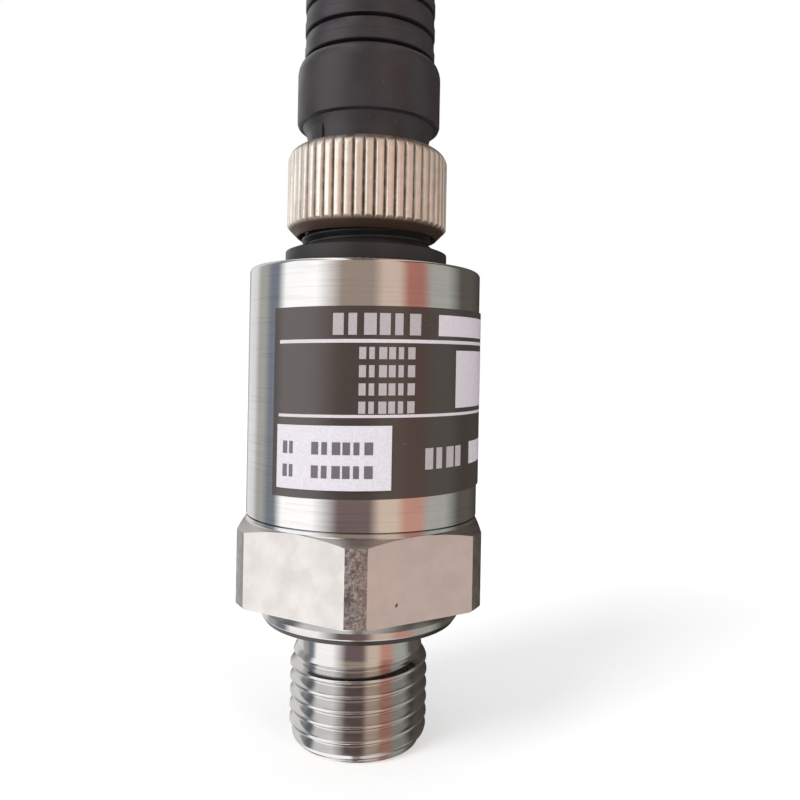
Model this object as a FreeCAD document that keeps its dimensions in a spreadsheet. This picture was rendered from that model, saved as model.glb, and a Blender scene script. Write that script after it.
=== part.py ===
"""Pressure transmitter with a moulded cable connector screwed on its plug.

The part stands on the end of its G1/4 thread: +Z runs up the axis, and the origin is the centre
of the thread's end face. Lengths are millimetres, angles are degrees.
"""

import FreeCAD, Part
import math
import os
import re

import Sketcher

SIZES = (
    # process connection
    ("thread_radius", 6.5785, "G1/4 thread, over its crests"),
    ("thread_lead", 0.73, "chamfer at the thread's end, across"),
    ("thread_lead_height", 1.1, "chamfer at the thread's end, along"),
    ("thread_length", 7.7, "end face to last crest"),
    ("relief_radius", 6.0, "undercut between thread and flange"),
    ("relief_length", 3.95, "undercut, along"),
    ("flange_radius", 9.5, "sealing flange"),
    ("flange_height", 2.3, "sealing flange, along"),
    ("flange_chamfer", 0.45, "lower edge of the flange"),
    ("hex_turn_angle", -90.0, "hexagon's first corner, from +X"),
    ("hex_corner_loss", 0.50, "turned off the corners of the hexagon"),
    ("hex_height", 7.49, "hexagon, along"),
    ("hex_top_chamfer", 0.5, "height of the cone on the upper corners"),
    ("hex_foot_chamfer", 0.12, "height of the cone on the lower corners"),
    ("weld_gap", 0.36, "groove between the hexagon and the can, along"),
    ("weld_depth", 0.35, "groove between the hexagon and the can, across"),
    ("spigot_length", 5.0, "rim that the can is pressed over"),
    ("spigot_wall", 1.07, "rim that the can is pressed over, across"),
    ("port_radius", 2.0, "pressure port"),
    ("pocket_depth", 9.3, "sensor pocket, down from the spigot's top"),
    # process seal and sensor
    ("seal_ring_width", 2.0, "profile ring under the flange, across"),
    ("seal_ring_height", 1.4, "profile ring under the flange, along"),
    ("cell_radius", 9.0, "ceramic measuring cell"),
    ("cell_height", 6.35, "ceramic measuring cell, along"),
    ("membrane_thickness", 0.75, "ceramic left over the cell's cavity"),
    ("cavity_radius", 4.4, "pressure cavity in the cell"),
    ("o_ring_centre_radius", 6.2, "o-ring under the cell"),
    ("o_ring_width", 1.8, "o-ring section, across"),
    ("o_ring_height", 1.35, "o-ring section, squeezed"),
    ("seal_corner_share", 0.35, "chamfers of the squeezed seals, as a share of their heights"),
    ("clamp_ring_height", 2.0, "ring screwed down on the cell"),
    ("clamp_ring_bore", 6.6, "bore radius of that ring"),
    ("spanner_slot_width", 1.6, "slots for the pin spanner"),
    # electronics
    ("holder_height", 2.0, "disc that carries the board"),
    ("holder_floor", 0.7, "disc left under the board's slot"),
    ("board_thickness", 1.0, "circuit board"),
    ("board_width", 15.0, "circuit board, across"),
    ("board_height", 10.6, "circuit board, along"),
    ("cell_lead_radius", 0.3, "leads from the cell to the board"),
    ("cell_lead_length", 7.0, "leads from the cell to the board, along"),
    ("cell_lead_spacing", 2.0, "leads, centre to centre"),
    ("chip_width", 3.9, "signal chip, across"),
    ("chip_length", 4.9, "signal chip, along"),
    ("chip_thickness", 1.5, "signal chip"),
    ("transistor_width", 6.5, "output transistor, across"),
    ("transistor_length", 5.5, "output transistor, along"),
    ("transistor_thickness", 2.3, "output transistor"),
    ("capacitor_length", 2.0, "board capacitors"),
    ("capacitor_width", 1.25, "board capacitors"),
    ("chip_offset", 4.0, "middle of the board to the middle of a part"),
    ("part_margin", 0.8, "edge of the board to its parts, and between them"),
    ("wire_radius", 0.55, "insulated lead wire"),
    ("wire_tail", 1.6, "straight end of a lead wire on its pad"),
    # can and labels
    ("can_wall", 0.8, "side wall of the can"),
    ("can_roof", 1.2, "end wall of the can"),
    ("can_height", 22.99, "can, along"),
    ("can_rim_round", 0.5, "upper edge of the can"),
    ("label_bottom_gap", 2.96, "can's foot to the label"),
    ("label_height", 16.0, "nameplate film, along"),
    ("label_thickness", 0.12, "nameplate film"),
    ("label_wrap_angle", 300.0, "nameplate film, angle round the can"),
    ("label_start_angle", -41.0, "nameplate's left edge, from the front"),
    ("sticker_rise", 0.75, "label's foot to the wiring sticker"),
    ("sticker_height", 5.35, "wiring sticker, along"),
    ("sticker_thickness", 0.1, "wiring sticker"),
    ("sticker_wrap_angle", 52.5, "wiring sticker, angle round the can"),
    ("sticker_start_angle", -37.5, "wiring sticker's left edge, from the front"),
    # plug
    ("plug_collar_radius", 7.75, "plug's collar on the can"),
    ("plug_collar_height", 1.8, "plug's collar, along"),
    ("plug_cone_height", 0.55, "cone from the collar to the thread"),
    ("plug_thread_radius", 6.25, "coupling thread, over its crests"),
    ("plug_thread_length", 6.07, "coupling thread, along"),
    ("shank_radius", 5.5, "plug's shank through the can's end wall"),
    ("shank_tail", 0.3, "shank below its lock nut"),
    ("lock_nut_width", 14.0, "lock nut across flats"),
    ("lock_nut_height", 2.2, "lock nut, along"),
    ("plug_seal_centre_radius", 6.6, "seal under the collar"),
    ("plug_seal_width", 1.0, "seal under the collar, across"),
    ("plug_seal_height", 0.7, "seal under the collar, squeezed"),
    ("shroud_radius", 4.3, "bore of the plug round the pins"),
    ("shroud_depth", 6.0, "bore of the plug, down from its rim"),
    ("pin_radius", 0.5, "contact pins"),
    ("pin_circle", 2.6, "radius of the circle of pins"),
    ("pin_reach", 5.4, "pins above the shroud's floor"),
    ("pin_tail", 0.8, "pins below the shank"),
    ("key_width", 1.0, "coding key in the shroud"),
    ("key_depth", 0.5, "coding key in the shroud"),
    ("key_setback", 1.0, "plug's rim down to the coding key"),
    # cable connector
    ("face_seal_centre_radius", 5.15, "seal between the two inserts"),
    ("face_seal_width", 1.6, "seal between the two inserts, across"),
    ("face_seal_height", 0.8, "seal between the two inserts, squeezed"),
    ("insert_flange_radius", 6.2, "flange that the nut pulls down"),
    ("insert_flange_height", 1.1, "flange that the nut pulls down"),
    ("insert_tail_radius", 4.2, "insert inside the boot"),
    ("insert_tail_length", 4.5, "insert inside the boot, along"),
    ("insert_floor_gap", 0.3, "insert's nose to the shroud's floor"),
    ("socket_radius", 0.8, "socket contacts"),
    ("socket_tail", 1.0, "socket contacts behind the insert"),
    ("wiring_room", 2.5, "hollow of the boot behind the insert"),
    ("socket_depth", 6.0, "bore of the socket contacts"),
    ("neck_radius", 5.85, "boot's neck in the nut"),
    ("neck_length", 3.48, "boot's neck below the grip"),
    ("neck_flare", 0.5, "concave foot of the grip"),
    ("grip_radius", 6.85, "boot's grip"),
    ("grip_height", 4.77, "boot's grip, along"),
    ("grip_foot_round", 0.4, "lower edge of the grip"),
    ("grip_shoulder", 1.3, "height of the shoulder over the grip"),
    ("rib_radius", 6.25, "rings of the bend relief"),
    ("rib_pitch", 2.35, "rings of the bend relief, along"),
    ("rib_count", 7, "rings of the bend relief"),
    ("rib_step", 0.08, "step half way up each ring"),
    ("slot_width", 0.4, "grooves between the rings"),
    ("slot_depth", 0.75, "grooves between the rings"),
    ("cable_bore_radius", 2.6, "cable hole in the boot"),
    ("mark_wrap_angle", 16.0, "moulded mark on the neck, angle"),
    ("mark_start_angle", -58.0, "moulded mark's left edge, from the front"),
    ("mark_rise", 0.18, "moulded mark, out from the neck"),
    # coupling nut
    ("nut_radius", 7.65, "nut over its knurls"),
    ("nut_lip", 1.25, "lip that holds the insert's flange"),
    ("nut_foot_gap", 0.95, "plug's cone to the nut"),
    ("nut_shoulder", 1.3, "rounding of the nut's upper edge"),
    ("nut_foot_chamfer", 0.95, "chamfer of the nut's lower edge"),
    ("knurl_count", 50, "straight knurls"),
    ("knurl_width", 0.56, "knurl grooves, across"),
    ("knurl_depth", 0.3, "knurl grooves"),
    # clearances
    ("press_gap", 0.03, "round faces pressed, moulded or glued together"),
    ("slip_gap", 0.1, "round faces that slip into each other"),
    ("running_gap", 0.08, "round faces that turn or slide in use"),
)

# Levels above the origin and radii that follow from the sizes.
DERIVED = {
    "relief_top": "thread_length + relief_length",
    "hex_foot": "relief_top + flange_height",
    "hex_top": "hex_foot + hex_height",
    "spigot_top": "hex_top + spigot_length",
    "pocket_floor": "spigot_top - pocket_depth",
    "cell_top": "pocket_floor + cell_height",
    "holder_seat": "spigot_top",
    "holder_top": "holder_seat + holder_height",
    "board_foot": "holder_seat + holder_floor",
    "board_top": "board_foot + board_height",
    "lead_x": "board_thickness / 2 + cell_lead_radius + press_gap",
    "wire_x": "board_thickness / 2 + wire_radius + press_gap",
    "wire_bend_top": "board_top + wire_radius",
    "wire_bend_foot": "wire_bend_top - (pin_circle - wire_x) * 2 * sin(60)",
    "wire_foot": "wire_bend_foot - wire_tail",
    "can_inside": "cell_radius + slip_gap + spigot_wall + press_gap",
    "can_radius": "can_inside + can_wall",
    "hex_width": "can_radius * 2",
    "hex_corner_radius": "hex_width / 2 / cos(30) - hex_corner_loss",
    "can_top": "hex_top + can_height",
    "roof_foot": "can_top - can_roof",
    "label_foot": "hex_top + label_bottom_gap",
    "label_inside": "can_radius + press_gap",
    "sticker_inside": "label_inside + label_thickness + press_gap",
    "collar_top": "can_top + plug_collar_height",
    "cone_top": "collar_top + plug_cone_height",
    "plug_top": "cone_top + plug_thread_length",
    "shroud_floor": "plug_top - shroud_depth",
    "lock_nut_foot": "roof_foot - lock_nut_height",
    "shank_foot": "lock_nut_foot - shank_tail",
    "pin_foot": "shank_foot - pin_tail",
    "flange_seat": "plug_top + face_seal_height",
    "flange_top": "flange_seat + insert_flange_height",
    "insert_nose": "shroud_floor + insert_floor_gap",
    "insert_top": "flange_top + insert_tail_length",
    "nut_foot": "cone_top + nut_foot_gap",
    "nut_top": "flange_top + nut_lip",
    "grip_foot": "flange_top + neck_length",
    "grip_top": "grip_foot + grip_height",
    "ribs_foot": "grip_top + grip_shoulder",
}


def bound(text):
    """Turn names of sizes in a formula into references to the sheet's cells."""

    def one(match):
        name = match.group(0)
        if name in DERIVED:
            return "(" + bound(DERIVED[name]) + ")"
        return "Sizes." + name if name in ALIASES else name

    return re.sub(r"[a-z]\w*", one, str(text))


ALIASES = {alias for alias, value, note in SIZES}
doc = FreeCAD.newDocument("pressure_transmitter")
sheet = doc.addObject("Spreadsheet::Sheet", "Sizes")
for row, (alias, value, note) in enumerate(SIZES, start=1):
    sheet.set(f"A{row}", note)
    sheet.set(f"B{row}", str(value))
    sheet.setAlias(f"B{row}", alias)
doc.recompute()


def value_of(text):
    """The number that a formula of sizes gives now."""
    return float(sheet.evalExpression(bound(text)))


def tie(thing, path, text):
    thing.setExpression(path, bound(text))


# --- sketches -----------------------------------------------------------------------------------


def new_body(label):
    body = doc.addObject("PartDesign::Body", label)
    body.Label = label
    return body


def plane_of(body, role):
    return next(f for f in body.Origin.OriginFeatures if f.Role == role)


def sketch_on(body, role, name, level=None, across=None):
    """A sketch on one of the body's own planes, moved off it by a formula."""
    sketch = body.newObject("Sketcher::SketchObject", f"{body.Label}_{name}")
    sketch.AttachmentSupport = [(plane_of(body, role), "")]
    sketch.MapMode = "FlatFace"
    if level is not None:
        tie(sketch, "AttachmentOffset.Base.z", level)
    if across is not None:
        tie(sketch, "AttachmentOffset.Base.x", across)
    return sketch


def place_point(sketch, geometry, end, x, y):
    """Hold one point of the sketch at two formulas, measured from the sketch's origin."""
    for kind, axis, text in (("DistanceX", -2, x), ("DistanceY", -1, y)):
        number = value_of(text)
        if abs(number) < 1e-9:
            sketch.addConstraint(Sketcher.Constraint("PointOnObject", geometry, end, axis))
            continue
        ends = (-1, 1, geometry, end) if number > 0 else (geometry, end, -1, 1)
        index = sketch.addConstraint(Sketcher.Constraint(kind, *ends, abs(number)))
        tie(sketch, f"Constraints[{index}]", text if number > 0 else f"0 - ({text})")


def draw_outline(sketch, points):
    """A closed outline of straight lines through points given as pairs of formulas."""
    spots = [FreeCAD.Vector(value_of(x), value_of(y), 0) for x, y in points]
    first = sketch.GeometryCount
    for here, there in zip(spots, spots[1:] + spots[:1]):
        sketch.addGeometry(Part.LineSegment(here, there), False)
    for step in range(len(points)):
        after = first + (step + 1) % len(points)
        sketch.addConstraint(Sketcher.Constraint("Coincident", first + step, 2, after, 1))
    for step, (x, y) in enumerate(points):
        place_point(sketch, first + step, 1, x, y)


def draw_box(sketch, low, high, reach, middle="0"):
    """A rectangle from a low to a high x that reaches to both sides of its middle in y."""
    near, far = f"{middle} - ({reach})", f"{middle} + ({reach})"
    draw_outline(sketch, [(low, near), (high, near), (high, far), (low, far)])


def draw_circle(sketch, radius, x="0", y="0"):
    centre = FreeCAD.Vector(value_of(x), value_of(y), 0)
    circle = Part.Circle(centre, FreeCAD.Vector(0, 0, 1), value_of(radius))
    index = sketch.addGeometry(circle, False)
    size = sketch.addConstraint(Sketcher.Constraint("Radius", index, value_of(radius)))
    tie(sketch, f"Constraints[{size}]", radius)
    place_point(sketch, index, 3, x, y)


def draw_hexagon(sketch, across_flats, first_corner):
    corner = f"({across_flats}) / 2 / cos(30)"
    turns = [f"{first_corner} + {60 * step}" for step in range(6)]
    draw_outline(sketch, [(f"{corner} * cos({turn})", f"{corner} * sin({turn})") for turn in turns])


# --- features -----------------------------------------------------------------------------------


def revolve(body, name, points, across=None, wrap=None):
    """Turn an outline of (radius, level) formulas about the vertical."""
    sketch = sketch_on(body, "XZ_Plane", name, across=across)
    draw_outline(sketch, points)
    feature = body.newObject("PartDesign::Revolution", f"{body.Label}_{name}_turned")
    feature.Profile = sketch
    feature.ReferenceAxis = (sketch, ["V_Axis"])
    feature.Angle = 360.0
    if wrap is not None:
        tie(feature, "Angle", wrap)
    doc.recompute()
    return feature


def turned(label, points, across=None, wrap=None):
    body = new_body(label)
    revolve(body, "outline", points, across=across, wrap=wrap)
    return body


def tube(inside, outside, foot, top):
    return [(inside, foot), (outside, foot), (outside, top), (inside, top)]


def rounded_shoulder(radius, top, across, along):
    """Outline points of an upper outer corner, rounded off in three flats."""
    return [
        (f"{radius} - ({across}) * (1 - cos({turn}))", f"{top} - ({along}) * (1 - sin({turn}))")
        for turn in (0, 30, 60, 90)
    ]


def cut_down(body, name, level, depth, draw):
    """Pocket whose sketch lies at the level and which goes down by the depth."""
    before = body.Shape.Volume
    sketch = sketch_on(body, "XY_Plane", name, level=level)
    draw(sketch)
    pocket = body.newObject("PartDesign::Pocket", f"{body.Label}_{name}_cut")
    pocket.Profile = sketch
    pocket.Type = "Length"
    tie(pocket, "Length", depth)
    doc.recompute()
    if body.Shape.Volume > before - 1e-6:
        raise ValueError(f"{body.Label}: {name} cuts nothing")
    return pocket


def pad_up(body, name, level, height, draw):
    sketch = sketch_on(body, "XY_Plane", name, level=level)
    draw(sketch)
    pad = body.newObject("PartDesign::Pad", f"{body.Label}_{name}_pad")
    pad.Profile = sketch
    pad.Type = "Length"
    tie(pad, "Length", height)
    doc.recompute()
    return pad


def repeat_round(body, feature, count):
    """Copies of one feature, evenly spaced about the vertical axis."""
    pattern = body.newObject("PartDesign::PolarPattern", f"{feature.Name}_ring")
    pattern.Originals = [feature]
    pattern.Axis = (next(f for f in body.Origin.OriginFeatures if f.Role == "Z_Axis"), [""])
    pattern.Angle = 360.0
    tie(pattern, "Occurrences", count)
    body.Tip = pattern
    doc.recompute()
    return pattern


def ring_edges(feature, radius, level):
    """Names of the feature's circular edges at one radius and level."""
    found = []
    for number, edge in enumerate(feature.Shape.Edges, start=1):
        round_edge = isinstance(edge.Curve, Part.Circle) and abs(edge.Curve.Radius - radius) < 1e-4
        if round_edge and abs(edge.Curve.Center.z - level) < 1e-4:
            found.append(f"Edge{number}")
    if not found:
        raise ValueError(f"{feature.Name}: no edge of radius {radius} at {level}")
    return found


def chamfer_edges(body, size, *rings):
    """Chamfer the circular edges at the given (radius, level) formulas."""
    base = body.Tip
    names = [n for radius, level in rings for n in ring_edges(base, value_of(radius), value_of(level))]
    feature = body.newObject("PartDesign::Chamfer", f"{base.Name}_chamfer")
    feature.Base = (base, names)
    tie(feature, "Size", size)
    doc.recompute()
    return feature


def turn_from_front(body, angle):
    """Swing a body that starts on +X so that it starts at an angle right of the front, -Y."""
    body.Placement = FreeCAD.Placement(FreeCAD.Vector(), FreeCAD.Rotation(FreeCAD.Vector(0, 0, 1), 1))
    tie(body, "Placement.Rotation.Angle", f"{angle} - 90")


# --- process connection and sensor ----------------------------------------------------------------


def make_process_connection():
    """Thread, undercut, flange, hexagon and spigot, turned from one bar of stainless steel."""
    body = new_body("process_connection")
    revolve(body, "bar", [
        ("port_radius", "0"),
        ("thread_radius - thread_lead", "0"),
        ("thread_radius", "thread_lead_height"),
        ("thread_radius", "thread_length"),
        ("relief_radius", "thread_length + thread_radius - relief_radius"),
        ("relief_radius", "relief_top + seal_ring_height"),
        ("relief_radius + seal_ring_width + slip_gap", "relief_top + seal_ring_height"),
        ("relief_radius + seal_ring_width + slip_gap", "relief_top"),
        ("flange_radius - flange_chamfer", "relief_top"),
        ("flange_radius", "relief_top + flange_chamfer"),
        ("flange_radius", "hex_foot"),
        ("hex_corner_radius - hex_foot_chamfer", "hex_foot"),
        ("hex_corner_radius", "hex_foot + hex_foot_chamfer"),
        ("hex_corner_radius", "hex_top - weld_gap - hex_top_chamfer"),
        ("can_radius", "hex_top - weld_gap"),
        ("can_radius - weld_depth", "hex_top - weld_gap"),
        ("can_radius - weld_depth", "hex_top"),
        ("can_inside - press_gap", "hex_top"),
        ("can_inside - press_gap", "spigot_top"),
        ("cell_radius + slip_gap", "spigot_top"),
        ("cell_radius + slip_gap", "pocket_floor"),
        ("o_ring_centre_radius + o_ring_width / 2 + slip_gap", "pocket_floor"),
        ("o_ring_centre_radius + o_ring_width / 2 + slip_gap", "pocket_floor - o_ring_height"),
        ("o_ring_centre_radius - o_ring_width / 2 - slip_gap", "pocket_floor - o_ring_height"),
        ("o_ring_centre_radius - o_ring_width / 2 - slip_gap", "pocket_floor"),
        ("port_radius", "pocket_floor"),
    ])

    def outside_the_flats(sketch):
        draw_circle(sketch, "hex_width")
        draw_hexagon(sketch, "hex_width", "hex_turn_angle")

    cut_down(body, "flats", "hex_top", "hex_height", outside_the_flats)
    return body


def make_squeezed_ring(label, centre_radius, width, foot, height):
    """A rubber ring as its groove holds it: flattened, with its corners broken."""
    inside, outside = f"{centre_radius} - {width} / 2", f"{centre_radius} + {width} / 2"
    top = f"{foot} + {height}"
    body = turned(label, tube(inside, outside, foot, top))
    corners = [(radius, level) for radius in (inside, outside) for level in (foot, top)]
    chamfer_edges(body, f"{height} * seal_corner_share", *corners)
    return body


def make_sensor():
    """Ceramic cell in its pocket, sealed from below and held down by a screwed ring."""
    cell = turned("pressure_sensor_cell", [
        ("0", "cell_top - membrane_thickness"),
        ("cavity_radius", "cell_top - membrane_thickness"),
        ("cavity_radius", "pocket_floor"),
        ("cell_radius", "pocket_floor"),
        ("cell_radius", "cell_top"),
        ("0", "cell_top"),
    ])
    ring_top = "cell_top + clamp_ring_height"
    ring = turned("sensor_clamp_ring", tube("clamp_ring_bore", "cell_radius", "cell_top", ring_top))
    cut = cut_down(ring, "slot", ring_top, "clamp_ring_height / 2",
                   lambda s: draw_box(s, "clamp_ring_bore - 1", "cell_radius + 1", "spanner_slot_width / 2"))
    repeat_round(ring, cut, "4")

    leads = new_body("cell_leads")

    def four_spots(sketch):
        for step in (-1.5, -0.5, 0.5, 1.5):
            draw_circle(sketch, "cell_lead_radius", "lead_x", f"cell_lead_spacing * {step}")

    pad_up(leads, "row", "cell_top", "cell_lead_length", four_spots)
    return cell, ring, leads


# --- electronics ----------------------------------------------------------------------------------


def make_board_holder():
    """Plastic disc on the spigot, with a slot for the board and holes for the cell's leads."""
    body = turned("board_holder", tube("0", "can_inside - slip_gap", "holder_seat", "holder_top"))
    side, end = "board_thickness / 2 + press_gap", "board_width / 2 + press_gap"
    slot_depth = "holder_height - holder_floor"
    cut_down(body, "slot", "holder_top", slot_depth, lambda s: draw_box(s, f"0 - ({side})", side, end))
    outer = "lead_x + cell_lead_radius + slip_gap"
    reach = "cell_lead_spacing * 1.5 + cell_lead_radius + slip_gap"
    cut_down(body, "window", "holder_top", "holder_height", lambda s: draw_box(s, side, outer, reach))
    return body


def make_board():
    """Upright circuit board with its chip, transistor and capacitors."""
    front, back = "board_thickness / 2", "0 - board_thickness / 2"

    def block(label, low, high, width, foot, height, *middles):
        body = new_body(label)
        body.AllowCompound = True
        for step, middle in enumerate(middles):
            pad_up(body, f"case_{step}", foot, height,
                   lambda s: draw_box(s, low, high, f"{width} / 2", middle))
        return body

    return [
        block("circuit_board", back, front, "board_width", "board_foot", "board_height", "0"),
        block("signal_chip", front, f"{front} + chip_thickness", "chip_width",
              "board_top - chip_length - part_margin", "chip_length", "0 - chip_offset"),
        block("output_transistor", f"{back} - transistor_thickness", back, "transistor_width",
              "holder_top + part_margin", "transistor_length", "0 - chip_offset"),
        block("board_capacitors", front, f"{front} + capacitor_width", "capacitor_width",
              "board_top - capacitor_length - part_margin", "capacitor_length",
              "chip_offset", "chip_offset + capacitor_width + part_margin"),
    ]


def make_lead_wire(label, turn):
    """Insulated wire from a plug pin to a pad on the board: down, over in two arcs, and down."""
    body = new_body(label)
    route = sketch_on(body, "XZ_Plane", "route")
    draw_wire_route(route)
    section = sketch_on(body, "XY_Plane", "section", level="pin_foot")
    draw_circle(section, "wire_radius", "pin_circle")
    pipe = body.newObject("PartDesign::AdditivePipe", f"{label}_pipe")
    pipe.Profile = section
    pipe.Spine = route
    doc.recompute()
    body.Placement = FreeCAD.Placement(FreeCAD.Vector(), FreeCAD.Rotation(FreeCAD.Vector(0, 0, 1), turn))
    return body


def draw_wire_route(route):
    """Two upright lines joined by two arcs of 60 degrees, each of a radius equal to the shift."""
    from_x, to_x = value_of("pin_circle"), value_of("wire_x")
    bend_top, bend_foot = value_of("wire_bend_top"), value_of("wire_bend_foot")
    upright, sixty = FreeCAD.Vector(0, 0, 1), math.radians(60)
    upper = Part.Circle(FreeCAD.Vector(to_x, bend_top, 0), upright, from_x - to_x)
    lower = Part.Circle(FreeCAD.Vector(from_x, bend_foot, 0), upright, from_x - to_x)
    route.addGeometry([
        Part.LineSegment(FreeCAD.Vector(from_x, value_of("pin_foot"), 0),
                         FreeCAD.Vector(from_x, bend_top, 0)),
        Part.ArcOfCircle(upper, -sixty, 0),
        Part.ArcOfCircle(lower, math.pi - sixty, math.pi),
        Part.LineSegment(FreeCAD.Vector(to_x, bend_foot, 0),
                         FreeCAD.Vector(to_x, value_of("wire_foot"), 0)),
    ], False)
    for ends in ((0, 2, 1, 2), (1, 1, 2, 1), (2, 2, 3, 1)):
        route.addConstraint(Sketcher.Constraint("Tangent", *ends))
    route.addConstraint(Sketcher.Constraint("Vertical", 0))
    route.addConstraint(Sketcher.Constraint("Equal", 1, 2))
    place_point(route, 0, 1, "pin_circle", "pin_foot")
    place_point(route, 3, 2, "wire_x", "wire_foot")
    level = route.addConstraint(Sketcher.Constraint("DistanceY", -1, 1, 0, 2, bend_top))
    tie(route, f"Constraints[{level}]", "wire_bend_top")


# --- can and labels -------------------------------------------------------------------------------


def make_can():
    """Thin stainless can with an end wall, pressed over the spigot and welded to the hexagon."""
    return turned("housing_can", [
        ("can_inside", "hex_top"),
        ("can_radius", "hex_top"),
        *rounded_shoulder("can_radius", "can_top", "can_rim_round", "can_rim_round"),
        ("shank_radius + press_gap", "can_top"),
        ("shank_radius + press_gap", "roof_foot"),
        ("can_inside", "roof_foot"),
    ])


def make_film(label, inside, thickness, foot, height, wrap, start):
    """Thin film bent round the can, from its left edge to the right."""
    points = tube(inside, f"{inside} + {thickness}", foot, f"{foot} + {height}")
    body = turned(label, points, wrap=wrap)
    turn_from_front(body, start)
    return body


# --- plug -----------------------------------------------------------------------------------------


def make_plug_base():
    """Moulded plug: shank and collar in the can's end wall, threaded shroud round the pins."""
    body = new_body("plug_base")
    seal_inside = "plug_seal_centre_radius - plug_seal_width / 2 - slip_gap"
    seal_outside = "plug_seal_centre_radius + plug_seal_width / 2 + slip_gap"
    revolve(body, "shell", [
        ("0", "shank_foot"),
        ("shank_radius", "shank_foot"),
        ("shank_radius", "can_top"),
        (seal_inside, "can_top"),
        (seal_inside, "can_top + plug_seal_height"),
        (seal_outside, "can_top + plug_seal_height"),
        (seal_outside, "can_top"),
        ("plug_collar_radius", "can_top"),
        ("plug_collar_radius", "collar_top"),
        ("plug_thread_radius", "cone_top"),
        ("plug_thread_radius", "plug_top - 0.4"),
        ("plug_thread_radius - 0.4", "plug_top"),
        ("shroud_radius", "plug_top"),
        ("shroud_radius", "shroud_floor"),
        ("0", "shroud_floor"),
    ])
    hole = cut_down(body, "pin_hole", "shroud_floor", "shroud_floor - shank_foot",
                    lambda s: draw_circle(s, "pin_radius + press_gap", "pin_circle"))
    repeat_round(body, hole, "4")
    pad_up(body, "key", "shroud_floor", "shroud_depth - key_setback",
           lambda s: draw_key(s, "shroud_radius - key_depth", "shroud_radius + key_depth", "key_width"))
    return body


def draw_key(sketch, nose, back, width):
    """Coding key: a bar at 45 degrees, half way between two pins, from its nose to its back."""
    draw_outline(sketch, [
        (f"({reach} - {side} * ({width}) / 2) * cos(45)", f"({reach} + {side} * ({width}) / 2) * cos(45)")
        for reach, side in ((nose, -1), (back, -1), (back, 1), (nose, 1))
    ])


def make_lock_nut():
    """Thin hexagon nut that pulls the plug down from inside the can."""
    body = new_body("plug_lock_nut")

    def hexagon_with_bore(sketch):
        draw_hexagon(sketch, "lock_nut_width", "0")
        draw_circle(sketch, "shank_radius + press_gap")

    pad_up(body, "body", "lock_nut_foot", "lock_nut_height", hexagon_with_bore)
    return body


def make_contact_pins():
    body = new_body("contact_pins")
    body.AllowCompound = True
    tip = "shroud_floor + pin_reach"
    pin = revolve(body, "pin", [
        ("0", "pin_foot"),
        ("pin_radius", "pin_foot"),
        ("pin_radius", f"{tip} - pin_radius"),
        ("pin_radius * 0.5", tip),
        ("0", tip),
    ], across="pin_circle")
    repeat_round(body, pin, "4")
    return body


# --- cable connector ------------------------------------------------------------------------------


def make_connector_insert():
    """Socket carrier: nose in the shroud, flange under the nut's lip, tail in the boot."""
    body = turned("connector_insert", [
        ("0", "insert_nose"),
        ("shroud_radius - running_gap", "insert_nose"),
        ("shroud_radius - running_gap", "flange_seat"),
        ("insert_flange_radius", "flange_seat"),
        ("insert_flange_radius", "flange_top"),
        ("insert_tail_radius", "flange_top"),
        ("insert_tail_radius", "insert_top"),
        ("0", "insert_top"),
    ])
    hole = cut_down(body, "socket_hole", "insert_top", "insert_top - insert_nose",
                    lambda s: draw_circle(s, "socket_radius + press_gap", "pin_circle"))
    repeat_round(body, hole, "4")
    nose = "shroud_radius - key_depth - slip_gap"
    cut_down(body, "keyway", "flange_seat", "flange_seat - insert_nose",
             lambda s: draw_key(s, nose, "shroud_radius + key_depth", "key_width + 2 * slip_gap"))
    return body


def make_socket_contacts():
    body = new_body("socket_contacts")
    body.AllowCompound = True
    bore, bore_end = "pin_radius + running_gap", "insert_nose + socket_depth"
    socket = revolve(body, "sleeve", [
        (bore, "insert_nose"),
        ("socket_radius", "insert_nose"),
        ("socket_radius", "insert_top + socket_tail"),
        ("0", "insert_top + socket_tail"),
        ("0", bore_end),
        (bore, bore_end),
    ], across="pin_circle")
    repeat_round(body, socket, "4")
    return body


def make_boot():
    """Moulded boot: neck, grip and a bend relief of separate rings, with the cable's hole."""
    body = new_body("strain_relief_boot")
    core, top = "rib_radius - slot_depth", "ribs_foot + rib_pitch * rib_count"
    revolve(body, "core", [
        ("insert_tail_radius + press_gap", "flange_top"),
        ("neck_radius", "flange_top"),
        ("neck_radius", "grip_foot - neck_flare"),
        ("neck_radius + neck_flare", "grip_foot"),
        ("grip_radius - grip_foot_round", "grip_foot"),
        ("grip_radius", "grip_foot + grip_foot_round"),
        *rounded_shoulder("grip_radius", "ribs_foot", "grip_radius - rib_radius", "grip_shoulder"),
        (core, "ribs_foot"),
        (core, top),
        ("cable_bore_radius", top),
        ("cable_bore_radius", "insert_top + wiring_room"),
        ("insert_tail_radius + press_gap", "insert_top + socket_tail"),
    ])
    add_mark(body)
    add_rings(body, core)
    return body


def add_mark(body):
    """Flat mark on the neck, beside the front, that shows how the two inserts line up."""
    inner, outer = "(neck_radius - mark_rise)", "(neck_radius + mark_rise)"
    left, right = "mark_start_angle - 90", "mark_start_angle + mark_wrap_angle - 90"
    corners = [(inner, left), (outer, left), (outer, right), (inner, right)]
    spots = [(f"{reach} * cos({turn})", f"{reach} * sin({turn})") for reach, turn in corners]
    foot = "(nut_top + slip_gap)"
    pad_up(body, "mark", foot, f"grip_foot - {foot}", lambda s: draw_outline(s, spots))


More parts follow.
